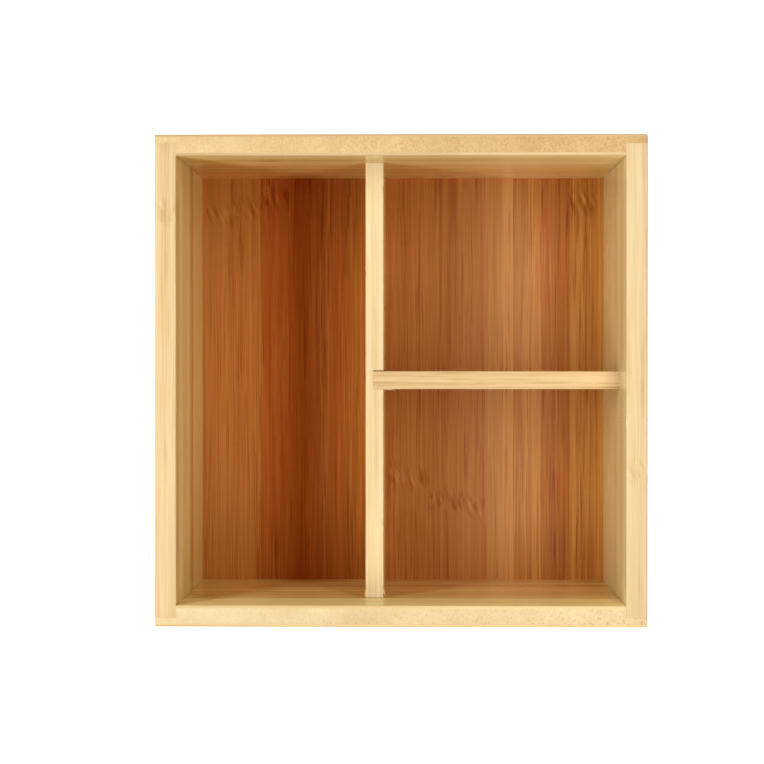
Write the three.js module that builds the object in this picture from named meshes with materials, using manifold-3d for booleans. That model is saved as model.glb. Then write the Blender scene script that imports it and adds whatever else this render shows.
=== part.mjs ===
// Square three-compartment desk box for pens, made of laminated bamboo boards.
//
// Frame: millimetres, +Z up, the open top faces +Z. The origin is the centre of the box's
// footprint, at the height of the surface that the box stands on. -Y is the front, +X the right.
//
// Joinery: the front and back walls are rabbeted at both ends and lap over the side walls' ends.
// All four walls are grooved near the bottom for the floor panel. The long divider runs from the
// front wall to the back wall, and the cross divider's end is let into a dado in its right face.

import * as THREE from 'three';
import { mergeVertices } from 'three/addons/utils/BufferGeometryUtils.js';
import Module from 'manifold-3d';

// Driving dimensions.
const boxSize = 160; // outer width and outer depth, the plan is square
const boxHeight = 100;
const wallThickness = 7;
const cornerLap = 3; // part of the front and back walls' thickness that covers the side walls' ends
const floorThickness = 5;
const floorClearance = 3; // from the walls' bottom edges up to the underside of the floor panel
const grooveDepth = 3;
const dividerThickness = 6;
const dividerHeight = 67; // from the floor panel up, so the dividers stop well below the rim
const longCompartmentWidth = 61; // clear width between the left wall and the long divider
const dadoDepth = 3.5;
const dadoPlay = 0.3; // the dado is this much wider than the cross divider, all on one side

// Derived dimensions.
const halfBox = boxSize / 2;
const halfInside = halfBox - wallThickness;
const sideWallLength = boxSize - 2 * cornerLap;
const floorTop = floorClearance + floorThickness;
const floorSize = 2 * (halfInside + grooveDepth);
const longDividerLeft = longCompartmentWidth - halfInside;
const longDividerRight = longDividerLeft + dividerThickness;
const dadoBottom = longDividerRight - dadoDepth; // the X of the dado's closed side
const halfDivider = dividerThickness / 2;

// The cutting tools run past the faces that they cut through.
const cutterOverrun = 1;

const wasm = await Module();
wasm.setup();

// A board's profile, drawn as [u, v] corners in order, extruded by a length along +Z.
function extrudeOutline(corners, length) {
  const shape = new THREE.Shape(corners.map(([u, v]) => new THREE.Vector2(u, v)));
  return new THREE.ExtrudeGeometry(shape, { depth: length, bevelEnabled: false });
}

function toSolid(geometry) {
  const bare = geometry.clone();
  bare.deleteAttribute('normal');
  bare.deleteAttribute('uv');
  const merged = mergeVertices(bare);
  return new wasm.Manifold(new wasm.Mesh({
    numProp: 3,
    vertProperties: new Float32Array(merged.attributes.position.array),
    triVerts: new Uint32Array(merged.index.array),
  }));
}

function toGeometry(solid) {
  const mesh = solid.getMesh();
  const geometry = new THREE.BufferGeometry();
  geometry.setAttribute('position', new THREE.BufferAttribute(mesh.vertProperties, 3));
  geometry.setIndex(new THREE.BufferAttribute(mesh.triVerts, 1));
  geometry.computeVertexNormals();
  return geometry;
}

function blockBetween(low, high) {
  const sides = high.map((value, i) => value - low[i]);
  const block = new THREE.BoxGeometry(...sides);
  block.translate(...low.map((value, i) => value + sides[i] / 2));
  return block;
}

// Section of a wall with its inner face at u = wallThickness and its bottom edge at v = 0.
const groovedSection = [
  [0, 0],
  [wallThickness, 0],
  [wallThickness, floorClearance],
  [wallThickness - grooveDepth, floorClearance],
  [wallThickness - grooveDepth, floorTop],
  [wallThickness, floorTop],
  [wallThickness, boxHeight],
  [0, boxHeight],
];

// The section stands up, with the board along +Y and its middle at the origin.
function groovedBoard(length) {
  const board = extrudeOutline(groovedSection, length);
  board.rotateX(Math.PI / 2);
  board.translate(0, length / 2, 0);
  return board;
}

// Left wall: its plain ends sit in the rabbets of the front and back walls.
function sideWallGeometry() {
  const board = groovedBoard(sideWallLength);
  board.translate(-halfBox, 0, 0);
  return board;
}

// Front wall: full width, with a rabbet at each end that leaves only the lap.
function lappedWallGeometry() {
  const board = groovedBoard(boxSize);
  board.rotateZ(Math.PI / 2);
  board.translate(0, -halfBox, 0);
  let solid = toSolid(board);
  for (const side of [-1, 1]) {
    const inner = side * halfInside;
    const outer = side * (halfBox + cutterOverrun);
    const rabbet = blockBetween(
      [Math.min(inner, outer), cornerLap - halfBox, -cutterOverrun],
      [Math.max(inner, outer), cutterOverrun - halfInside, boxHeight + cutterOverrun],
    );
    solid = solid.subtract(toSolid(rabbet));
  }
  return toGeometry(solid);
}

function floorPanelGeometry() {
  const halfFloor = floorSize / 2;
  return blockBetween([-halfFloor, -halfFloor, floorClearance], [halfFloor, halfFloor, floorTop]);
}

// Plan outline with the dado as a notch in the right face, from the floor panel up.
function longDividerGeometry() {
  const dadoBack = halfDivider + dadoPlay;
  const outline = [
    [longDividerLeft, -halfInside],
    [longDividerRight, -halfInside],
    [longDividerRight, -halfDivider],
    [dadoBottom, -halfDivider],
    [dadoBottom, dadoBack],
    [longDividerRight, dadoBack],
    [longDividerRight, halfInside],
    [longDividerLeft, halfInside],
  ];
  const board = extrudeOutline(outline, dividerHeight);
  board.translate(0, 0, floorTop);
  return board;
}

function crossDividerGeometry() {
  return blockBetween(
    [dadoBottom, -halfDivider, floorTop],
    [halfInside, halfDivider, floorTop + dividerHeight],
  );
}

function bamboo(color, roughness) {
  return new THREE.MeshStandardMaterial({ color, roughness, metalness: 0 });
}

const box = new THREE.Group();

function addBoard(name, geometry, material, turn = 0) {
  const board = new THREE.Mesh(geometry, material);
  board.name = name;
  board.rotation.z = turn;
  box.add(board);
}

addBoard('front_wall', lappedWallGeometry(), bamboo(0xf4d9a4, 0.45));
addBoard('back_wall', lappedWallGeometry(), bamboo(0xecc992, 0.45), Math.PI);
addBoard('left_wall', sideWallGeometry(), bamboo(0xf6d69f, 0.45));
addBoard('right_wall', sideWallGeometry(), bamboo(0xf1cf98, 0.45), Math.PI);
addBoard('floor_panel', floorPanelGeometry(), bamboo(0xa9662f, 0.4));
addBoard('long_divider', longDividerGeometry(), bamboo(0xf8e0b0, 0.5));
addBoard('cross_divider', crossDividerGeometry(), bamboo(0xf6d59b, 0.5));

export default box;
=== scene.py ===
# Looks for a square bamboo desk box with three compartments.
#
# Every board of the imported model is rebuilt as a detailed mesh: a cross-section is lofted along
# the board's length, with sanded arrises, the rabbets, the groove, the dado and worn spots. The
# laminated bamboo is procedural: strips, seams, fibres, nodes of the cane and end-grain speckle.

import math
import random
from dataclasses import dataclass

import bmesh
import bpy
from mathutils import Matrix, Vector, noise


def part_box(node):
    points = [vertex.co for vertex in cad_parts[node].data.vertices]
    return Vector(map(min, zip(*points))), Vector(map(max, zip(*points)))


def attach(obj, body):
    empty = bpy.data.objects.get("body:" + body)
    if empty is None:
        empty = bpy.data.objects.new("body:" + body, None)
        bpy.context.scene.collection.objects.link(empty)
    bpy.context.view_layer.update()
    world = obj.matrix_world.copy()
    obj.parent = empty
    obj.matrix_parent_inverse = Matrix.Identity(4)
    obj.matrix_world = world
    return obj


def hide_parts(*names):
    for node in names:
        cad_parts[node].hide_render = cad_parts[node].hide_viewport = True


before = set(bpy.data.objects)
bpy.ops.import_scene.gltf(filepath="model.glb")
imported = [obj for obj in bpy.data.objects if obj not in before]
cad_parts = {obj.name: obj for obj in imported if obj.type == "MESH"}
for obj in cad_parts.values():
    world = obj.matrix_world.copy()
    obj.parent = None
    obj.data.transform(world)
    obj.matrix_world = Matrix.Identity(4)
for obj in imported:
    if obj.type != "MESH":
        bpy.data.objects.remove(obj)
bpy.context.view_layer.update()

MM = 0.001

# ---------------------------------------------------------------- sizes, from the frame

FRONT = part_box("front_wall")
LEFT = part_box("left_wall")
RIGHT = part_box("right_wall")
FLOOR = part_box("floor_panel")
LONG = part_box("long_divider")
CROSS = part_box("cross_divider")

WALL = LEFT[1].x - LEFT[0].x
LAP = LEFT[0].y - FRONT[0].y
HEIGHT = FRONT[1].z
HALF_BOX = RIGHT[1].x
HALF_INSIDE = RIGHT[0].x
GROOVE = LEFT[1].x - FLOOR[0].x
DADO = LONG[1].x - CROSS[0].x


# ---------------------------------------------------------------- sizes that the frame doesn't give

# The dado is this much wider than the cross divider.
DADO_PLAY = 0.3 * MM

# Radii of the sanded edges.
RIM_OUTER = 0.5 * MM
RIM_INNER = 0.38 * MM
CORNER = 0.55 * MM
DIVIDER_EDGE = 0.28 * MM

# Radii of edges that meet another board or lie out of sight.
SEAM = 0.07 * MM
INNER_CORNER_SEAM = 0.22 * MM
HIDDEN = 0.05 * MM

# How finely the boards are lofted.
ARC_STEPS = 4
STATION_STEP = 1.6 * MM
FLOOR_STEP = 8 * MM
CHIP_STEP = 0.25 * MM
SHARP_ANGLE = math.radians(31)
MERGE_DISTANCE = 2e-6
SHORTEST_EDGE = 1e-6

# Hand sanding changes an edge's radius by this share, in waves of this length.
SAND_CHANGE = 0.35
SAND_WAVE = 14 * MM
SAND_SLICE = 0.5

# A broken edge is rough by this share, in grains of this size.
CHIP_CHANGE = 0.5
CHIP_GRAIN = 0.4 * MM
CHIP_SLICE = 2.5

# A torn splinter tapers by this share. Its section is a trapezium, in half widths.
SLIVER_STEPS = 6
SLIVER_TAPER = 0.92
SLIVER_SECTION = ((-1, -0.6), (1, -0.6), (0.7, 0.6), (-0.7, 0.6))

# The worn places that the photo shows, as (place along Y, half length, extra radius).
RIGHT_WALL_CHIPS = [
    (13.0 * MM, 3.2 * MM, 0.8 * MM),
]
LONG_LEFT_CHIPS = [
    (35.5 * MM, 1.4 * MM, 0.55 * MM),
    (9.0 * MM, 1.1 * MM, 0.45 * MM),
    (-21.0 * MM, 0.8 * MM, 0.25 * MM),
    (-70.6 * MM, 1.6 * MM, 0.4 * MM),
]
LONG_RIGHT_CHIPS = [
    (64.0 * MM, 1.3 * MM, 0.5 * MM),
    (-48.0 * MM, 0.8 * MM, 0.3 * MM),
    (-70.2 * MM, 1.8 * MM, 0.35 * MM),
]


# ---------------------------------------------------------------- boards

def arc(corner, towards_u, towards_z, radius):
    """Points of a rounded corner. towards_u and towards_z point from the corner into the board."""
    centre = (corner[0] + towards_u * radius, corner[1] + towards_z * radius)
    points = []
    for step in range(ARC_STEPS + 1):
        angle = math.pi / 2 * step / ARC_STEPS
        points.append((
            centre[0] - towards_u * radius * math.cos(angle),
            centre[1] - towards_z * radius * math.sin(angle),
        ))
    return points


def section(low, high, radii, notch=None):
    """Cross-section of a board, anticlockwise from the low corner, as (u, z) points.

    radii go in the same order. notch is (depth, low z, high z) on the high u side.
    """
    (u0, z0), (u1, z1) = low, high
    points = arc((u0, z0), 1, 1, radii[0])
    points += reversed(arc((u1, z0), -1, 1, radii[1]))
    if notch:
        depth, notch_low, notch_high = notch
        points += [(u1, notch_low), (u1 - depth, notch_low)]
        points += [(u1 - depth, notch_high), (u1, notch_high)]
    points += arc((u1, z1), -1, -1, radii[2])
    points += reversed(arc((u0, z1), 1, -1, radii[3]))
    return points


def end_inset(distance, radius):
    """How far a face is drawn in at this distance from a rounded end."""
    if distance >= radius:
        return 0.0
    return radius - math.sqrt(radius**2 - (radius - distance) ** 2)


def sanded(radius, s, seed, chips=()):
    """The radius of a hand-sanded edge, which changes a little along the board.

    chips are (place, half length, extra radius) of spots where the edge has broken away.
    """
    size = radius * (1 + SAND_CHANGE * noise.noise((s / SAND_WAVE, seed, SAND_SLICE)))
    for place, half_length, extra in chips:
        share = max(0.0, 1 - ((s - place) / half_length) ** 2)
        rough = 1 + CHIP_CHANGE * noise.noise((s / CHIP_GRAIN, seed, CHIP_SLICE))
        size += extra * share * rough
    return size


def spread(low, high, step=STATION_STEP, chips=()):
    """Numbers from low to high, both included, about a step apart and closer at the chips."""
    count = max(1, round((high - low) / step))
    places = {low + (high - low) * i / count for i in range(count + 1)}
    for place, half_length, _ in chips:
        reach = math.ceil(half_length / CHIP_STEP)
        near = (place + i * CHIP_STEP for i in range(-reach, reach + 1))
        places.update(s for s in near if low < s < high)
    return sorted(places)


def end_stations(end, radius, inwards):
    """Stations over a rounded end, from the end inwards."""
    turns = [math.pi / 2 * step / ARC_STEPS for step in range(ARC_STEPS + 1)]
    return [end + inwards * radius * (1 - math.cos(turn)) for turn in turns]


def loft(name, rings, slivers=()):
    """A closed mesh through rings of points, with flat ends. slivers are more rings to add."""
    mesh = bpy.data.meshes.new(name)
    bm = bmesh.new()
    for part in (rings, *slivers):
        rows = [[bm.verts.new(point) for point in ring] for ring in part]
        for row, following in zip(rows, rows[1:]):
            count = len(row)
            for i in range(count):
                j = (i + 1) % count
                bm.faces.new((row[i], row[j], following[j], following[i]))
        bm.faces.new(rows[0])
        bm.faces.new(list(reversed(rows[-1])))
    bmesh.ops.remove_doubles(bm, verts=bm.verts, dist=MERGE_DISTANCE)
    bmesh.ops.dissolve_degenerate(bm, edges=bm.edges, dist=SHORTEST_EDGE)
    bmesh.ops.recalc_face_normals(bm, faces=bm.faces)
    for face in bm.faces:
        face.smooth = True
    for edge in bm.edges:
        edge.smooth = edge.is_manifold and edge.calc_face_angle(0) < SHARP_ANGLE
    bm.to_mesh(mesh)
    bm.free()
    board = bpy.data.objects.new(name, mesh)
    bpy.context.scene.collection.objects.link(board)
    return board


def sliver(root, tip, lift, width):
    """Rings of a torn splinter of wood that leaves the board at root and tapers to its tip.

    lift is how far the tip bends sideways, and width is the splinter's width at its root.
    """
    rings = []
    root, tip = Vector(root), Vector(tip)
    forward = (tip - root).normalized()
    side = forward.cross(Vector((0, 0, 1))).normalized()
    up = side.cross(forward)
    for step in range(SLIVER_STEPS + 1):
        share = step / SLIVER_STEPS
        centre = root.lerp(tip, share) + side * lift * share**2
        half = width * (1 - SLIVER_TAPER * share) / 2
        rings.append([centre + side * half * a + up * half * b for a, b in SLIVER_SECTION])
    return rings


GROOVE_NOTCH = (GROOVE, FLOOR[0].z, FLOOR[1].z)


def lapped_wall(name, turned, seed):
    """Front wall, or the back wall if turned: rabbeted ends that lap over the side walls."""
    sign = -1 if turned else 1

    def ring(s, in_lap, end_distance, seam_inset):
        """Outline at s. end_distance rounds the lap's end, and seam_inset the rabbet's corner."""
        inset = end_inset(end_distance, CORNER)
        thickness = LAP if in_lap else WALL - seam_inset
        inner = SEAM if in_lap else sanded(RIM_INNER, s, seed + 1)
        radii = (RIM_OUTER, SEAM if in_lap else RIM_INNER, inner, sanded(RIM_OUTER, s, seed))
        notch = (0.0, *GROOVE_NOTCH[1:]) if in_lap else GROOVE_NOTCH
        outline = section((inset, inset), (thickness, HEIGHT - inset), radii, notch)
        return [Vector((sign * s, sign * (FRONT[0].y + u), z)) for u, z in outline]

    def half(inwards):
        """Rings of one end, from the tip of the lap to where the full thickness begins."""
        rings = []
        for s in end_stations(HALF_BOX, CORNER, -1) + [HALF_INSIDE]:
            rings.append(ring(inwards * s, True, HALF_BOX - s, 0))
        for s in end_stations(HALF_INSIDE, INNER_CORNER_SEAM, -1):
            seam_inset = end_inset(HALF_INSIDE - s, INNER_CORNER_SEAM)
            rings.append(ring(inwards * s, False, CORNER, seam_inset))
        return rings

    full = HALF_INSIDE - INNER_CORNER_SEAM
    middle = [ring(s, False, CORNER, 0) for s in spread(-full, full)[1:-1]]
    return loft(name, half(-1) + middle + list(reversed(half(1))))


def side_wall(name, turned, seed, chips=()):
    """Left wall, or the right wall if turned. Its inner rim edge is sanded only where it is free."""
    sign = -1 if turned else 1
    end = LEFT[1].y

    def ring(s, covered):
        inset = end_inset(end - abs(s), SEAM)
        inner = SEAM if covered else sanded(RIM_INNER, s, seed + 1, chips)
        radii = (RIM_OUTER, SEAM, inner, sanded(RIM_OUTER, s, seed))
        outline = section((inset, 0), (WALL - inset, HEIGHT - inset), radii, GROOVE_NOTCH)
        return [Vector((sign * (LEFT[0].x + u), sign * s, z)) for u, z in outline]

    def end_rings(inwards):
        return [ring(inwards * s, True) for s in end_stations(end, SEAM, -1) + [HALF_INSIDE]]

    middle = [ring(s, False) for s in spread(-HALF_INSIDE, HALF_INSIDE, chips=chips)]
    return loft(name, end_rings(-1) + middle + list(reversed(end_rings(1))))


def floor_panel(name):
    """A plain panel. Its edges are hidden in the walls' grooves."""
    low, high = FLOOR
    rings = []
    for s in spread(low.y, high.y, FLOOR_STEP):
        outline = section((low.x, low.z), (high.x, high.z), (HIDDEN,) * 4)
        rings.append([Vector((u, s, z)) for u, z in outline])
    return loft(name, rings)


def long_divider(name, seed):
    """Runs along Y, with the dado for the cross divider in its right face."""
    low, high = LONG
    dado_low, dado_high = CROSS[0].y, CROSS[1].y + DADO_PLAY
    chips = LONG_LEFT_CHIPS + LONG_RIGHT_CHIPS

    def ring(s, in_dado=False):
        inset = end_inset(min(s - low.y, high.y - s), DIVIDER_EDGE)
        right = high.x - DADO if in_dado else high.x
        right_edge = SEAM if in_dado else sanded(DIVIDER_EDGE, s, seed + 1, LONG_RIGHT_CHIPS)
        left_edge = sanded(DIVIDER_EDGE, s, seed, LONG_LEFT_CHIPS)
        radii = (HIDDEN, HIDDEN, right_edge, left_edge)
        outline = section((low.x, low.z), (right, high.z - inset), radii)
        return [Vector((u, s, z)) for u, z in outline]

    rings = [ring(s) for s in end_stations(low.y, DIVIDER_EDGE, 1)]
    rings += [ring(s) for s in spread(low.y + DIVIDER_EDGE, dado_low, chips=chips)[1:]]
    rings += [ring(s, True) for s in spread(dado_low, dado_high)]
    rings += [ring(s) for s in spread(dado_high, high.y - DIVIDER_EDGE, chips=chips)[:-1]]
    rings += [ring(s) for s in reversed(end_stations(high.y, DIVIDER_EDGE, -1))]

    # Fibres torn out at the saw cut, at the end by the front wall.
    top = high.z - 0.5 * MM
    left_root = (low.x + 0.2 * MM, low.y + 2.6 * MM, top)
    left_tip = (low.x - 0.3 * MM, low.y + 0.2 * MM, top)
    right_root = (high.x - 0.2 * MM, low.y + 3.4 * MM, top)
    right_tip = (high.x + 0.4 * MM, low.y + 0.3 * MM, top)
    torn = [
        sliver(left_root, left_tip, lift=0.25 * MM, width=0.5 * MM),
        sliver(right_root, right_tip, lift=-0.3 * MM, width=0.55 * MM),
    ]
    return loft(name, rings, torn)


def cross_divider(name, seed):
    """Runs along X, from the dado to the right wall."""
    low, high = CROSS

    def ring(s):
        inset = end_inset(min(s - low.x, high.x - s), SEAM)
        edges = sanded(DIVIDER_EDGE, s, seed + 1), sanded(DIVIDER_EDGE, s, seed)
        outline = section((low.y, low.z), (high.y, high.z - inset), (HIDDEN, HIDDEN, *edges))
        return [Vector((s, u, z)) for u, z in outline]

    rings = [ring(s) for s in end_stations(low.x, SEAM, 1)]
    rings += [ring(s) for s in spread(low.x + SEAM, high.x - SEAM)[1:-1]]
    rings += [ring(s) for s in reversed(end_stations(high.x, SEAM, -1))]

    # A splinter lifted off the front edge where the divider enters the dado.
    start = LONG[1].x + 0.3 * MM
    top = high.z - 0.4 * MM
    root = (start, low.y + 0.1 * MM, top)
    tip = (start + 3.6 * MM, low.y - 0.1 * MM, top)
    return loft(name, rings, [sliver(root, tip, lift=0.3 * MM, width=0.7 * MM)])


# ---------------------------------------------------------------- shader nodes

class Shader:
    """A material and short calls that add linked nodes to it.

    A value that goes into a node is either another node's output or a constant.
    """

    # The mix node's sockets for a factor, for numbers and for colours.
    FACTOR = 0
    NUMBER_A, NUMBER_B, NUMBER_OUT = 2, 3, 0
    COLOUR_A, COLOUR_B, COLOUR_OUT = 6, 7, 2

    def __init__(self, name):
        self.material = bpy.data.materials.new(name)
        self.material.use_nodes = True
        self.tree = self.material.node_tree
        self.tree.nodes.clear()

    def node(self, kind, inputs=None, **settings):
        made = self.tree.nodes.new(kind)
        for key, value in settings.items():
            setattr(made, key, value)
        for key, value in (inputs or {}).items():
            self.put(value, made.inputs[key])
        return made

    def put(self, value, socket):
        if isinstance(value, bpy.types.NodeSocket):
            self.tree.links.new(value, socket)
        else:
            socket.default_value = value

    def maths(self, operation, a, b=0.5, c=0.5):
        return self.node("ShaderNodeMath", {0: a, 1: b, 2: c}, operation=operation).outputs[0]

    def add(self, a, b):
        return self.maths("ADD", a, b)

    def times(self, a, b):
        return self.maths("MULTIPLY", a, b)

    def over(self, a, b):
        return self.maths("DIVIDE", a, b)

    def centred(self, value, gain):
        """A value around a half, as a value around zero."""
        return self.times(self.maths("SUBTRACT", value, 0.5), gain)

    def remap(self, value, low, high, to_low=0.0, to_high=1.0, smooth=False):
        inputs = {"Value": value, "From Min": low, "From Max": high, "To Min": to_low, "To Max": to_high}
        kind = "SMOOTHSTEP" if smooth else "LINEAR"
        return self.node("ShaderNodeMapRange", inputs, interpolation_type=kind).outputs["Result"]

    def point(self, x, y, z):
        return self.node("ShaderNodeCombineXYZ", {0: x, 1: y, 2: z}).outputs[0]

    def noise(self, point, detail=2.0):
        inputs = {"Vector": point, "Scale": 1.0, "Detail": detail, "Roughness": 0.5}
        return self.node("ShaderNodeTexNoise", inputs).outputs["Fac"]

    def stray(self, point, reach, detail=2.0):
        """Noise that strays up to this reach to either side of zero."""
        return self.remap(self.noise(point, detail), 0, 1, -reach, reach)

    def ramp(self, value, stops, interpolation="LINEAR"):
        made = self.node("ShaderNodeValToRGB", {"Fac": value})
        made.color_ramp.interpolation = interpolation
        elements = made.color_ramp.elements
        while len(elements) < len(stops):
            elements.new(1.0)
        for element, (position, colour) in zip(elements, stops):
            element.position = position
            element.color = (*colour, 1.0)
        return made.outputs["Color"]

    def mix(self, factor, a, b, blend="MIX"):
        made = self.node("ShaderNodeMix", data_type="RGBA", blend_type=blend)
        self.put(factor, made.inputs[self.FACTOR])
        for colour, socket in ((a, self.COLOUR_A), (b, self.COLOUR_B)):
            self.put((*colour, 1.0) if isinstance(colour, tuple) else colour, made.inputs[socket])
        return made.outputs[self.COLOUR_OUT]

    def mix_numbers(self, factor, a, b):
        inputs = {self.FACTOR: factor, self.NUMBER_A: a, self.NUMBER_B: b}
        return self.node("ShaderNodeMix", inputs, data_type="FLOAT").outputs[self.NUMBER_OUT]

    def axes(self):
        coordinates = self.node("ShaderNodeTexCoord").outputs["Object"]
        split = self.node("ShaderNodeSeparateXYZ", {0: coordinates})
        return {"X": split.outputs[0], "Y": split.outputs[1], "Z": split.outputs[2]}


# ---------------------------------------------------------------- laminated bamboo

# Colours of the bamboo from its darkest fibres to its palest, as linear light.
EDGE_BAMBOO = [
    (0.0, (0.36, 0.18, 0.05)),
    (0.30, (0.55, 0.35, 0.14)),
    (0.55, (0.65, 0.47, 0.22)),
    (1.0, (0.76, 0.61, 0.35)),
]
FACE_BAMBOO = [
    (0.0, (0.46, 0.26, 0.065)),
    (0.30, (0.72, 0.52, 0.19)),
    (0.55, (0.84, 0.67, 0.29)),
    (1.0, (0.91, 0.79, 0.45)),
]
PALE_EDGE_BAMBOO = [
    (0.0, (0.38, 0.22, 0.08)),
    (0.30, (0.59, 0.43, 0.215)),
    (0.55, (0.69, 0.55, 0.32)),
    (1.0, (0.77, 0.66, 0.44)),
]
SHADED_EDGE_BAMBOO = [
    (0.0, (0.27, 0.13, 0.035)),
    (0.30, (0.42, 0.265, 0.108)),
    (0.55, (0.53, 0.39, 0.195)),
    (1.0, (0.66, 0.56, 0.35)),
]
PALE_FACE_BAMBOO = [
    (0.0, (0.49, 0.33, 0.115)),
    (0.30, (0.68, 0.535, 0.232)),
    (0.55, (0.785, 0.665, 0.34)),
    (1.0, (0.875, 0.775, 0.46)),
]
OUTSIDE_BAMBOO = [
    (0.0, (0.43, 0.23, 0.07)),
    (0.30, (0.60, 0.38, 0.15)),
    (0.55, (0.70, 0.49, 0.22)),
    (1.0, (0.79, 0.61, 0.33)),
]
# The floor's colours are partly its own and partly painted shade and warm bounce light, deep and red as the
# floor looks low in the box.
FLOOR_BAMBOO_WITH_PAINTED_BOUNCE = [
    (0.0, (0.20, 0.045, 0.004)),
    (0.35, (0.38, 0.135, 0.018)),
    (0.50, (0.46, 0.205, 0.044)),
    (0.70, (0.56, 0.290, 0.070)),
    (1.0, (0.68, 0.42, 0.14)),
]
CORE_BAMBOO = [
    (0.0, (0.35, 0.175, 0.055)),
    (0.25, (0.455, 0.275, 0.11)),
    (0.5, (0.585, 0.40, 0.185)),
    (0.75, (0.70, 0.53, 0.285)),
]
PALE_CORE_BAMBOO = [
    (0.25, (0.52, 0.35, 0.16)),
    (0.5, (0.645, 0.50, 0.28)),
    (0.75, (0.73, 0.62, 0.40)),
]
# RED_TINT tints a strip's own redness, and also the painted warm bounce light on the walls' inner faces and
# in the floor's strips.
RED_TINT = (1.0, 0.58, 0.48)
DOT_COLOUR = (0.40, 0.20, 0.065)

# Streaks of the fibres: width across the board, length along it and the noise's detail.
FINE_STREAK = (0.34 * MM, 30 * MM, 2.0)
MIDDLE_STREAK = (1.2 * MM, 80 * MM, 3.0)
BROAD_STREAK = (6.0 * MM, 160 * MM, 2.0)
BUNDLE_STREAK = (0.45 * MM, 20 * MM, 1.0)
CROWD_STREAK = (4.5 * MM, 50 * MM, 1.0)

# A dark bundle of fibres fades in between these values of its noise, and so does a crowd of them.
BUNDLE_FADE = (0.56, 0.64)
CROWD_FADE = (0.42, 0.58)

# A strip's streaks are shifted from its neighbour's by this length, more than any streak's.
STRIP_SHIFT = 0.37

# The fibres drift to the side by this much, over these lengths along and across the board.
DRIFT = 0.6 * MM
DRIFT_ALONG = 90 * MM
DRIFT_ACROSS = 17 * MM

# A node of the cane: how far its line strays and over what width, and where its band fades out.
NODE_STRAY = 5 * MM
NODE_STRAY_ACROSS = 3.5 * MM
NODE_FADE = (1 * MM, 6 * MM)

# The fibres swerve at a node by this much, over these lengths, in a noise of their own.
SWERVE = 1.6 * MM
SWERVE_ALONG = 7 * MM
SWERVE_ACROSS = 2.4 * MM
SWERVE_SLICE = 3

# The flecks at a node.
FLECK_SLANT = 0.3
FLECK_ALONG = 8 * MM
FLECK_ACROSS = 1.6 * MM

# The furthest that a node may lie from the middle of its board.
NODE_REACH = 0.2

# The most redness of a plain strip.
MOST_REDNESS = 0.12

# Half the width of the dark line between two strips.
SEAM_LINE = 0.12 * MM

# How far the painted end shadow reaches in from a board's ends, and how far up the painted warm bounce
# light from the floor reaches.
END_SHADOW_REACH = 34 * MM
BOUNCE_FADE_TOP = 0.85 * HEIGHT

# Where a wall's inner material meets its outer one, and half the width of such a change.
WALL_MIDDLE = (HALF_INSIDE + HALF_BOX) / 2
FEATHER = 0.05 * MM

# A divider's glue line: where it fades out, and how its strength varies along the board.
PLY_LINE_FADE = (0.05 * MM, 0.3 * MM)
PLY_LINE_GAP = 9 * MM
PLY_LINE_NOISE = (0.42, 0.6)
PLY_LINE_FAINTEST = 0.15
PLY_LINE_SHADE = -0.2

# The dots of the end grain: their stretch towards the wall's faces, how far down a bundle runs
# straight, the scale on which their size varies, and their radius in dot spacings.
DOT_STRETCH = 1.3
DOT_RUN = 40 * MM
DOT_PATCH_ALONG = 2.6 * MM
DOT_PATCH_DEPTH = 1.8 * MM
DOT_RADIUS = (0.12, 0.46)
DOT_FADE = (0.6, 1.2)
DOT_SCATTER = 0.9

# The dots' strength at the inner face and at the left end, where the other side's is 1.
DOTS_INSIDE = 0.3
DOTS_LEFT = 0.05

# Uneven patches of the end grain: size in the rim and length downwards.
GRAIN_PATCH = (0.45 * MM, 12 * MM)
SMALL_PATCH = (2.2 * MM, 30 * MM)
LARGE_PATCH = (18 * MM, 60 * MM)

# Most of a noise lies between these, and a noise of two coordinates is taken from this slice.
NOISE_RANGE = (0.3, 0.7)
NOISE_SLICE = 0.5

# Relief of the surface, in shares of the bump distance.
STREAK_RELIEF = 0.6
SEAM_RELIEF = -0.8
DOT_RELIEF = -0.5
BUMP_DISTANCE = 0.05 * MM

# The lacquer's roughness changes by this much in smudges of this size.
GLOSS_CHANGE = 0.04
SMUDGE_SIZE = 9 * MM
MATT_ROUGHNESS = 0.5
LACQUER_IOR = 1.5


@dataclass
class Look:
    """How one board's bamboo looks. Lengths are in metres, in the frame of the box.

    along, across and depth are the axes along the fibres, across the strips and through the board.
    strips are (tone, node place or None, redness), one pitch wide each, from first_seam on.
    face and edge are colour ramps, and the edge's is used above the height edge_above.
    outwards is the direction of the outer face along the depth axis, or 0 for an inner board.
    fine and the fields after it, up to the painted shadow at the board's ends, are the strengths of the
    parts of the pattern.
    ply_line is the depth of a divider's glue line. The default lies outside every board.
    The last two fields add painted shade and painted warm bounce light from the floor to the inner face, at
    the board's low and high end.
    The painted bounce light fades upwards from the floor panel.
    """

    along: str
    across: str
    depth: str
    strips: list
    first_seam: float
    pitch: float
    seed: float
    face: list
    edge: list
    edge_above: float
    outwards: int = 0
    gloss: float = 0.15
    lacquer: float = 0.15
    relief: float = 0.12
    fine: float = 0.45
    middle: float = 0.6
    broad: float = 0.7
    bundles: float = 0.16
    node_shade: float = 0.12
    node_flecks: float = 1.1
    seam: float = 0.22
    painted_end_shadow: float = 0.0
    ply_line: float = 1.0
    low_end_painted_light: tuple = (0.0, 0.0)
    high_end_painted_light: tuple = (0.0, 0.0)


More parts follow.
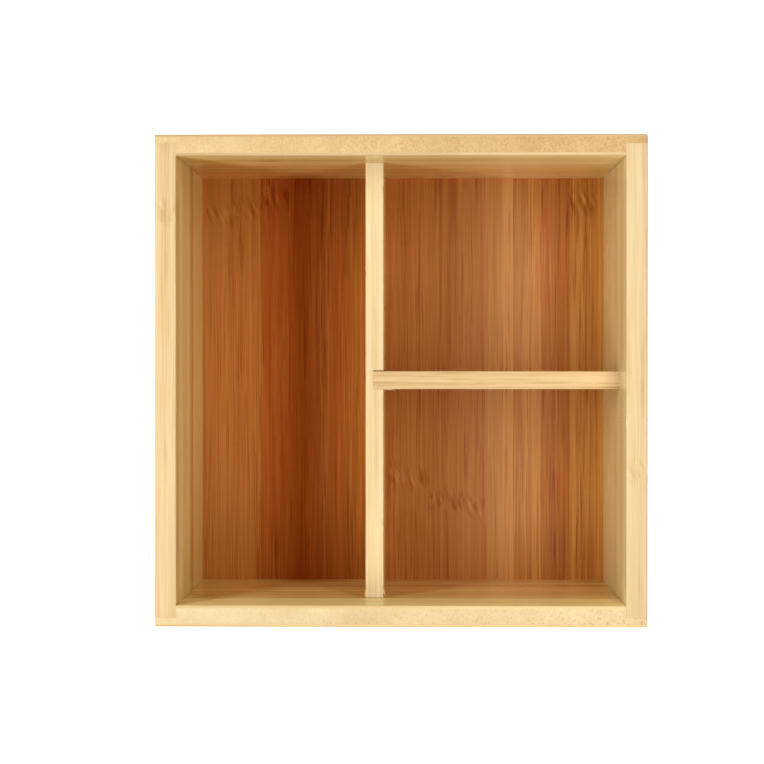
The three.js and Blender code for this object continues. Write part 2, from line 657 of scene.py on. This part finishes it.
@dataclass
class Core:
    """The upright-fibred core of the front and back walls, which shows at the rim.

    dots, the painted shade that darkens the core to the right, grain, blocks and patches are strengths.
    facing is the thickness of the plies that cover the core.
    """

    colours: list
    dots: float
    painted_shade_to_right: float
    grain: float
    blocks: float = 0.22
    small_patches: float = 0.15
    large_patches: float = 0.35
    tone: float = 0.43
    facing: float = 0.9 * MM
    dot_spacing: float = 0.85 * MM
    block_width: float = 19 * MM


def plain_strips(count, seed, tone, contrast, nodes):
    """Strips with seeded tones around this one. nodes are the places of nodes by strip number."""
    chance = random.Random(seed)
    strips = []
    for i in range(count):
        strip_tone = tone + contrast * chance.uniform(-0.5, 0.5)
        strips.append((strip_tone, nodes.get(i), chance.uniform(0, MOST_REDNESS)))
    return strips


def strip_table(shader, index, look):
    """Tone, node place and redness of the strip with this index, looked up in one ramp."""
    count = len(look.strips)
    stops = []
    for i, (tone, node_at, red) in enumerate(look.strips):
        node_share = 0.0 if node_at is None else (node_at + NODE_REACH) / (2 * NODE_REACH)
        stops.append((i / count, (tone, node_share, red)))
    table = shader.ramp(shader.over(shader.add(index, 0.5), count), stops, "CONSTANT")
    facts = shader.node("ShaderNodeSeparateColor", {0: table}).outputs
    node_at = shader.maths("MULTIPLY_ADD", facts["Green"], 2 * NODE_REACH, -NODE_REACH)
    return facts["Red"], node_at, facts["Blue"]


def laminated(shader, along, across, depth, look):
    """Shade, relief and redness of a face whose strips lie side by side across the board."""
    place = shader.over(shader.maths("SUBTRACT", across, look.first_seam), look.pitch)
    index = shader.maths("FLOOR", place)
    tone, node_at, red = strip_table(shader, index, look)

    # How near this point is to its strip's node, along a line that wanders across the strip.
    side = shader.add(across, depth)
    wander_point = shader.point(shader.over(side, NODE_STRAY_ACROSS), index, look.seed)
    wander = shader.stray(wander_point, NODE_STRAY)
    from_node = shader.add(shader.maths("SUBTRACT", along, node_at), wander)
    node_band = shader.remap(shader.maths("ABSOLUTE", from_node), *NODE_FADE, 1, 0, smooth=True)

    # The fibres drift slowly, swerve at a node and stop at each seam.
    swerve_along = shader.over(along, SWERVE_ALONG)
    swerve_point = shader.point(shader.over(across, SWERVE_ACROSS), swerve_along, look.seed + SWERVE_SLICE)
    swerve = shader.stray(swerve_point, SWERVE)
    drift_point = shader.point(shader.over(along, DRIFT_ALONG), shader.over(across, DRIFT_ACROSS), index)
    drift = shader.stray(drift_point, DRIFT, 1.0)
    fibre = shader.add(shader.maths("MULTIPLY_ADD", swerve, node_band, across), drift)
    shifted = shader.maths("MULTIPLY_ADD", index, STRIP_SHIFT, along)

    def streaks(width, length, detail):
        run = shader.over(shifted, length)
        return shader.noise(shader.point(run, shader.over(fibre, width), shader.over(depth, width)), detail)

    fine = streaks(*FINE_STREAK)
    middle = streaks(*MIDDLE_STREAK)
    broad = streaks(*BROAD_STREAK)
    crowded = shader.remap(streaks(*CROWD_STREAK), *CROWD_FADE)
    bundles = shader.remap(streaks(*BUNDLE_STREAK), *BUNDLE_FADE, smooth=True)
    bundles = shader.times(bundles, crowded)

    # Short slanted flecks where the cane had a node.
    slanted = shader.maths("MULTIPLY_ADD", from_node, FLECK_SLANT, side)
    fleck_point = shader.point(shader.over(along, FLECK_ALONG), shader.over(slanted, FLECK_ACROSS), index)
    flecks = shader.times(shader.centred(shader.noise(fleck_point, 1.0), look.node_flecks), node_band)

    # Painted shadow darkens the board towards its ends, where the end walls shade it.
    to_end = shader.maths("ABSOLUTE", along)
    painted_ends = shader.remap(to_end, HALF_INSIDE - END_SHADOW_REACH, HALF_INSIDE, smooth=True)

    within = shader.maths("SUBTRACT", shader.maths("FRACT", place), 0.5)
    seam_share = SEAM_LINE / look.pitch
    seam = shader.remap(shader.maths("ABSOLUTE", within), 0.5 - seam_share, 0.5)

    shade = tone
    for value, gain in ((fine, look.fine), (middle, look.middle), (broad, look.broad)):
        shade = shader.add(shade, shader.centred(value, gain))
    darker = (
        (bundles, look.bundles),
        (node_band, look.node_shade),
        (seam, look.seam),
        (painted_ends, look.painted_end_shadow),
    )
    for value, gain in darker:
        shade = shader.maths("MULTIPLY_ADD", value, -gain, shade)
    shade = shader.add(shade, flecks)
    height = shader.add(shader.centred(fine, STREAK_RELIEF), shader.centred(middle, STREAK_RELIEF))
    height = shader.add(shader.maths("MULTIPLY_ADD", seam, SEAM_RELIEF, height), flecks)
    return shade, height, red


def ply_line(shader, along, depth, look):
    """A thin broken glue line between two plies of a divider, at the depth look.ply_line."""
    off = shader.maths("ABSOLUTE", shader.maths("SUBTRACT", depth, look.ply_line))
    gap_point = shader.point(shader.over(along, PLY_LINE_GAP), look.seed, NOISE_SLICE)
    strength = shader.remap(shader.noise(gap_point, 3.0), *PLY_LINE_NOISE, PLY_LINE_FAINTEST, 1)
    return shader.times(shader.remap(off, *PLY_LINE_FADE, 1, 0, smooth=True), strength)


def speckled_core(shader, along, depth, upright, look, core):
    """Colour and relief of a core with upright fibres, whose cut bundles show at the rim as dots."""
    cell_point = shader.point(
        shader.over(along, core.dot_spacing),
        shader.over(depth, DOT_STRETCH * core.dot_spacing),
        shader.over(upright, DOT_RUN),
    )
    cell_inputs = {"Vector": cell_point, "Scale": 1.0, "Randomness": DOT_SCATTER}
    cells = shader.node("ShaderNodeTexVoronoi", cell_inputs)
    patch_depth = shader.over(depth, DOT_PATCH_DEPTH)
    patch_point = shader.point(shader.over(along, DOT_PATCH_ALONG), patch_depth, look.seed)
    radius = shader.remap(shader.noise(patch_point), *NOISE_RANGE, *DOT_RADIUS)
    dot = shader.remap(shader.over(cells.outputs["Distance"], radius), *DOT_FADE, 1, 0, smooth=True)
    outer = shader.remap(depth, HALF_INSIDE, HALF_BOX, DOTS_INSIDE, 1.0)
    # The dots grow denser towards the right end, and the same ramp sets the painted shade further on.
    dots_and_shade_to_right = shader.remap(along, -HALF_BOX, HALF_BOX, DOTS_LEFT, 1.0)
    dot = shader.times(dot, shader.times(outer, dots_and_shade_to_right))

    def patches(size, length):
        down = shader.over(upright, length)
        return shader.noise(shader.point(shader.over(along, size), shader.over(depth, size), down))

    block = shader.maths("FLOOR", shader.over(along, core.block_width))
    block_tone = shader.noise(shader.point(block, look.seed, NOISE_SLICE), 0.0)
    # Painted shade darkens the core towards its right end.
    tone = shader.maths("MULTIPLY_ADD", dots_and_shade_to_right, -core.painted_shade_to_right, core.tone + core.painted_shade_to_right / 2)
    uneven = (
        (block_tone, core.blocks),
        (patches(*GRAIN_PATCH), core.grain),
        (patches(*SMALL_PATCH), core.small_patches),
        (patches(*LARGE_PATCH), core.large_patches),
    )
    for value, gain in uneven:
        tone = shader.add(tone, shader.centred(value, gain))
    colour = shader.mix(shader.times(dot, core.dots), shader.ramp(tone, core.colours), DOT_COLOUR)
    return colour, shader.times(dot, DOT_RELIEF)


def lacquered(shader, colour, height, matt, look):
    """Satin lacquer over the bamboo, duller where matt is 1."""
    axes = shader.axes()
    smudge_point = shader.point(*(shader.over(axes[name], SMUDGE_SIZE) for name in "XYZ"))
    smudge = shader.noise(smudge_point, 3.0)
    lowest, highest = look.gloss - GLOSS_CHANGE, look.gloss + GLOSS_CHANGE
    roughness = shader.remap(smudge, *NOISE_RANGE, lowest, highest)
    roughness = shader.mix_numbers(matt, roughness, MATT_ROUGHNESS)
    bump_inputs = {"Strength": look.relief, "Distance": BUMP_DISTANCE, "Height": height}
    bump = shader.node("ShaderNodeBump", bump_inputs)
    surface = shader.node("ShaderNodeBsdfPrincipled", {
        "Base Color": colour,
        "Roughness": roughness,
        "Normal": bump.outputs[0],
        "IOR": LACQUER_IOR,
        "Specular IOR Level": look.lacquer,
    })
    output = shader.node("ShaderNodeOutputMaterial")
    shader.put(surface.outputs[0], output.inputs["Surface"])
    return shader.material


def bamboo(name, look, core=None):
    """The material of one board. Only the front and back walls have a core."""
    shader = Shader(name)
    axes = shader.axes()
    along, across, depth = axes[look.along], axes[look.across], axes[look.depth]
    shade, height, red = laminated(shader, along, across, depth, look)
    shade = shader.maths("MULTIPLY_ADD", ply_line(shader, along, depth, look), PLY_LINE_SHADE, shade)

    # The inner face, with painted shade and painted warm bounce light from the floor that change from end
    # to end.
    def from_end_to_end(low, high):
        return shader.remap(along, -HALF_INSIDE, HALF_INSIDE, low, high)

    painted_end_light, painted_bounce = (from_end_to_end(*painted_ends) for painted_ends in zip(look.low_end_painted_light, look.high_end_painted_light))
    low_down = shader.remap(axes["Z"], FLOOR[1].z, BOUNCE_FADE_TOP, 1, 0)
    painted_bounce = shader.times(painted_bounce, low_down)
    colour = shader.ramp(shader.add(shade, painted_end_light), look.face)
    colour = shader.mix(painted_bounce, colour, RED_TINT, "MULTIPLY")

    # The sanded edge is matt, and so is the outside.
    at_edge = shader.remap(axes["Z"], look.edge_above - 3 * FEATHER, look.edge_above + 3 * FEATHER)
    matt = at_edge
    if look.outwards:
        outside_depth = shader.times(depth, look.outwards)
        is_outside = shader.remap(outside_depth, WALL_MIDDLE - FEATHER, WALL_MIDDLE + FEATHER)
        colour = shader.mix(is_outside, colour, shader.ramp(shade, OUTSIDE_BAMBOO))
        matt = shader.maths("MAXIMUM", at_edge, is_outside)
    colour = shader.mix(at_edge, colour, shader.ramp(shade, look.edge))
    colour = shader.mix(red, colour, RED_TINT, "MULTIPLY")
    if core:
        core_colour, core_height = speckled_core(shader, along, outside_depth, axes["Z"], look, core)
        core_half = WALL / 2 - core.facing
        off = shader.maths("ABSOLUTE", shader.maths("SUBTRACT", outside_depth, WALL_MIDDLE))
        is_face = shader.remap(off, core_half - FEATHER, core_half + FEATHER)
        colour = shader.mix(is_face, core_colour, colour)
        height = shader.mix_numbers(is_face, core_height, height)
    return lacquered(shader, colour, height, matt, look)


# ---------------------------------------------------------------- the boards and their bamboo

# A board's top edge looks sanded down to this depth.
SANDED_DEPTH = 0.4 * MM
RIM_EDGE = HEIGHT - SANDED_DEPTH
DIVIDER_TOP = LONG[1].z - SANDED_DEPTH

# The floor's strips from left to right: tone, node place along Y and redness. Tone and redness are partly
# the strips' own and partly painted shade and painted warm bounce light, reddest in the shaded band of the
# left compartment.
FLOOR_STRIPS_WITH_PAINTED_SHADE = [
    (0.66, None, 0.5),
    (0.70, 60 * MM, 0.6),
    (0.66, 62 * MM, 0.6),
    (0.56, 66 * MM, 0.95),
    (0.54, None, 1.0),
    (0.38, None, 0.65),
    (0.33, None, 0.3),
    (0.61, -34 * MM, 0.62),
    (0.56, -36 * MM, 0.6),
    (0.54, -44 * MM, 0.55),
    (0.61, -46 * MM, 0.55),
    (0.69, None, 0.33),
    (0.43, None, 0.1),
    (0.30, None, 0.22),
    (0.44, 64 * MM, 0.12),
    (0.60, None, 0.35),
]

# The front wall's strips from the bottom up, with the pale ones at the rim.
FRONT_STRIPS = [
    (0.31, None, 0.12),
    (0.29, None, 0.14),
    (0.35, None, 0.12),
    (0.28, None, 0.12),
    (0.33, None, 0.10),
    (0.26, None, 0.12),
    (0.30, -66 * MM, 0.10),
    (0.55, -62 * MM, 0.0),
    (0.60, None, 0.0),
    (0.70, None, 0.0),
]

LOOKS = {
    "front_wall": Look(
        along="X", across="Z", depth="Y", seed=4.0,
        strips=FRONT_STRIPS,
        first_seam=-8 * MM, pitch=12 * MM,
        face=FACE_BAMBOO, edge=EDGE_BAMBOO, edge_above=RIM_EDGE,
        outwards=-1, fine=0.35, middle=0.4, broad=0.5, bundles=0.06,
        # Painted shade, with a little painted warm bounce light, towards the right end of the inner face.
        high_end_painted_light=(-0.15, 0.06),
    ),
    "back_wall": Look(
        along="X", across="Z", depth="Y", seed=7.0,
        strips=plain_strips(10, 7, 0.47, 0.4, {7: -44 * MM}),
        first_seam=-7 * MM, pitch=12 * MM,
        face=FACE_BAMBOO, edge=SHADED_EDGE_BAMBOO, edge_above=RIM_EDGE,
        outwards=1, fine=0.35, middle=0.4, broad=0.5, bundles=0.06,
        # Painted warm bounce light from the floor and a little painted shade towards the left end, painted
        # light towards the right end.
        low_end_painted_light=(-0.05, 0.85), high_end_painted_light=(0.11, 0.1),
    ),
    "left_wall": Look(
        along="Y", across="Z", depth="X", seed=11.0,
        strips=plain_strips(10, 17, 0.38, 0.5, {7: -58 * MM, 8: 55 * MM}),
        first_seam=-6 * MM, pitch=12 * MM,
        face=FACE_BAMBOO, edge=PALE_EDGE_BAMBOO, edge_above=RIM_EDGE,
        outwards=-1, fine=0.4, middle=0.35, broad=0.25, bundles=0.08,
        node_shade=0.05, node_flecks=0.35,
    ),
    "right_wall": Look(
        along="Y", across="Z", depth="X", seed=15.0,
        strips=plain_strips(10, 15, 0.5, 0.35, {5: -32 * MM, 8: -30 * MM}),
        first_seam=-7 * MM, pitch=12 * MM,
        face=PALE_FACE_BAMBOO, edge=SHADED_EDGE_BAMBOO, edge_above=RIM_EDGE,
        outwards=1, fine=0.5, middle=0.35, broad=0.25, bundles=0.12,
        node_shade=0.05, node_flecks=0.5,
    ),
    "floor_panel": Look(
        along="Y", across="X", depth="Z", seed=21.0,
        strips=FLOOR_STRIPS_WITH_PAINTED_SHADE,
        first_seam=-82.2 * MM, pitch=10.2 * MM,
        face=FLOOR_BAMBOO_WITH_PAINTED_BOUNCE, edge=FLOOR_BAMBOO_WITH_PAINTED_BOUNCE, edge_above=HEIGHT,
        gloss=0.3, lacquer=0.1, relief=0.25,
        fine=0.5, middle=0.42, broad=0.12, bundles=0.18,
        # The floor's end shade is a painted shadow of the front and back walls.
        node_shade=0.05, node_flecks=0.95, seam=0.12, painted_end_shadow=0.09,
    ),
    "long_divider": Look(
        along="Y", across="Z", depth="X", seed=25.0,
        strips=plain_strips(5, 25, 0.47, 0.1, {}),
        first_seam=-6 * MM, pitch=20 * MM,
        face=FACE_BAMBOO, edge=PALE_EDGE_BAMBOO, edge_above=DIVIDER_TOP,
        middle=0.45, broad=0.3,
    ),
    "cross_divider": Look(
        along="X", across="Z", depth="Y", seed=29.0,
        strips=plain_strips(5, 29, 0.23, 0.1, {}),
        first_seam=-4 * MM, pitch=20 * MM,
        face=FACE_BAMBOO, edge=PALE_EDGE_BAMBOO, edge_above=DIVIDER_TOP,
        middle=0.25, broad=0.2, ply_line=-0.9 * MM,
    ),
}
CORES = {
    # Each core's darkening towards the right is painted shade.
    "front_wall": Core(PALE_CORE_BAMBOO, dots=0.8, painted_shade_to_right=0.1, grain=0.22),
    "back_wall": Core(CORE_BAMBOO, dots=1.0, painted_shade_to_right=0.42, grain=0.45),
}


def dress():
    """Builds every board, gives it its bamboo and puts it in place of its CAD node."""
    boards = [
        ("front_wall", "wall_bamboo", lapped_wall("front_board", False, 3.0)),
        ("back_wall", "wall_bamboo", lapped_wall("back_board", True, 8.0)),
        ("left_wall", "wall_bamboo", side_wall("left_board", False, 12.0)),
        ("right_wall", "wall_bamboo", side_wall("right_board", True, 16.0, RIGHT_WALL_CHIPS)),
        ("floor_panel", "floor_bamboo", floor_panel("floor_board")),
        ("long_divider", "divider_bamboo", long_divider("long_board", 24.0)),
        ("cross_divider", "divider_bamboo", cross_divider("cross_board", 28.0)),
    ]
    for node, slot, board in boards:
        board.data.materials.append(bamboo(node + "_finish", LOOKS[node], CORES.get(node)))
        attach(board, "root")
        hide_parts(node)


# ---------------------------------------------------------------- studio

LENS_MM = 108.7
SENSOR_MM = 36.0
CAMERA_ABOVE_RIM = 0.748
CAMERA_OFFSET = Vector((5.5 * MM, 5.0 * MM, 0))
AIM_OFFSET = Vector((-6.1 * MM, -0.4 * MM, 0))

# Two long soft lights hang close above the box, along Y.
# Each has a name, the X of its middle, its height above the rim, its width and its power in watts.
LIGHT_LENGTH = 0.45
SOFT_LIGHTS = [
    ("left_softbox", -0.235, 0.30, 0.08, 2.05),
    ("right_softbox", 0.085, 0.17, 0.062, 0.64),
]
AMBIENT = 0.04
WHITE = (1.0, 1.0, 1.0, 1.0)

STAGE_RADIUS = 6.0
STAGE_SIDES = 96
PAPER = (0.8, 0.8, 0.8, 1.0)
PAPER_ROUGHNESS = 0.9
PAPER_GLOW = 0.85


def add_camera():
    data = bpy.data.cameras.new("camera")
    data.lens = LENS_MM
    data.sensor_width = SENSOR_MM
    camera = bpy.data.objects.new("camera", data)
    bpy.context.scene.collection.objects.link(camera)
    rim_centre = Vector((0, 0, HEIGHT))
    place = rim_centre + CAMERA_OFFSET + Vector((0, 0, CAMERA_ABOVE_RIM))
    forward = (rim_centre + AIM_OFFSET - place).normalized()
    right = forward.cross(Vector((0, 1, 0))).normalized()
    up = right.cross(forward)
    turn = Matrix((right, up, -forward)).transposed().to_4x4()
    camera.matrix_world = Matrix.Translation(place) @ turn
    bpy.context.scene.camera = camera


def add_softboxes():
    for name, x, above_rim, width, power in SOFT_LIGHTS:
        data = bpy.data.lights.new(name, "AREA")
        data.shape = "RECTANGLE"
        data.size = width
        data.size_y = LIGHT_LENGTH
        data.energy = power
        light = bpy.data.objects.new(name, data)
        light.location = (x, 0, HEIGHT + above_rim)
        light.visible_camera = False
        bpy.context.scene.collection.objects.link(light)


def add_world():
    """White where the camera sees it, and a faint ambient light."""
    world = bpy.data.worlds.new("studio")
    world.use_nodes = True
    tree = world.node_tree
    background = tree.nodes["Background"]
    background.inputs["Color"].default_value = WHITE
    seen = tree.nodes.new("ShaderNodeLightPath").outputs["Is Camera Ray"]
    strength = tree.nodes.new("ShaderNodeMapRange")
    strength.inputs["To Min"].default_value = AMBIENT
    tree.links.new(seen, strength.inputs["Value"])
    tree.links.new(strength.outputs["Result"], background.inputs["Strength"])
    bpy.context.scene.world = world


def add_stage():
    """A round sheet of pale paper, large enough to reach the horizon, that glows faintly."""
    mesh = bpy.data.meshes.new("studio_floor")
    bm = bmesh.new()
    bmesh.ops.create_circle(bm, cap_ends=True, segments=STAGE_SIDES, radius=STAGE_RADIUS)
    bm.to_mesh(mesh)
    bm.free()
    stage = bpy.data.objects.new("studio_floor", mesh)
    bpy.context.scene.collection.objects.link(stage)
    shader = Shader("studio_paper")
    surface = shader.node("ShaderNodeBsdfPrincipled", {
        "Base Color": PAPER,
        "Roughness": PAPER_ROUGHNESS,
        "Emission Color": WHITE,
        "Emission Strength": PAPER_GLOW,
    })
    output = shader.node("ShaderNodeOutputMaterial")
    shader.put(surface.outputs[0], output.inputs["Surface"])
    mesh.materials.append(shader.material)


bpy.context.scene.view_settings.view_transform = "Standard"
add_camera()
add_softboxes()
add_world()
add_stage()
dress()
